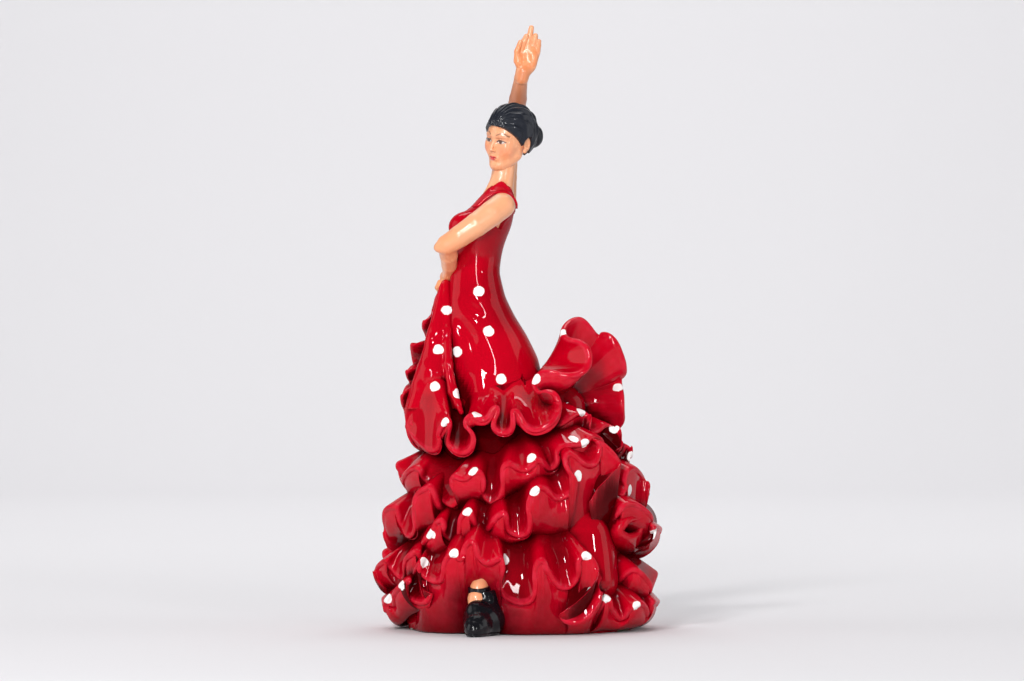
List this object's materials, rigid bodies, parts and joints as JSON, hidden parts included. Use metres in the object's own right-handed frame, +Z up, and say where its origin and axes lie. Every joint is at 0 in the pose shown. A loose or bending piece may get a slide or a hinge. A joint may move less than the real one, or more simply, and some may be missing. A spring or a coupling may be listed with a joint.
{
  "type": "dancer figurine",
  "caption": "Painted resin figurine of a flamenco dancer with a raised arm, a tiered ruffled dress with polka dots and a lifted train, on a flat felted base.",
  "frame": {"origin": "centre of the felt pad's flat underside, on the surface the figurine stands on", "axes": "+Z up; +X to the viewer's right, the dancer faces -X; +Y away from the viewer"},
  "size_m": [0.1176, 0.1112, 0.248],
  "materials": {
    "dress_red": "painted resin under a clear gloss lacquer",
    "skin": "painted resin, satin to gloss",
    "hair": "painted resin, gloss black",
    "flower_red": "painted resin, gloss",
    "shoe_black": "painted resin, gloss black",
    "steel": "plain drawn dowel",
    "board": "bare fibreboard",
    "felt": "dark green felt"
  },
  "bodies": {
    "root": {"skirt_core": "dress_red", "base_board": "board", "felt_pad": "felt", "waist_dowel": "steel", "flounce_1": "dress_red", "flounce_2": "dress_red", "flounce_3": "dress_red", "flounce_4": "dress_red", "hem_flounce": "dress_red", "train_flounce": "dress_red", "lifted_panel": "dress_red", "panel_ruffle": "dress_red", "dress_body": "dress_red", "shoulder_straps": "dress_red", "neck_and_chest": "skin", "neck_dowel": "steel", "head": "skin", "hair_cap": "hair", "hair_bun": "hair", "hair_flower": "flower_red", "bent_arm": "skin", "raised_arm": "skin", "raised_hand": "skin", "arm_dowels": "steel", "front_foot": "skin", "dance_shoe": "shoe_black", "ankle_strap": "shoe_black"}
  },
  "joints": []
}
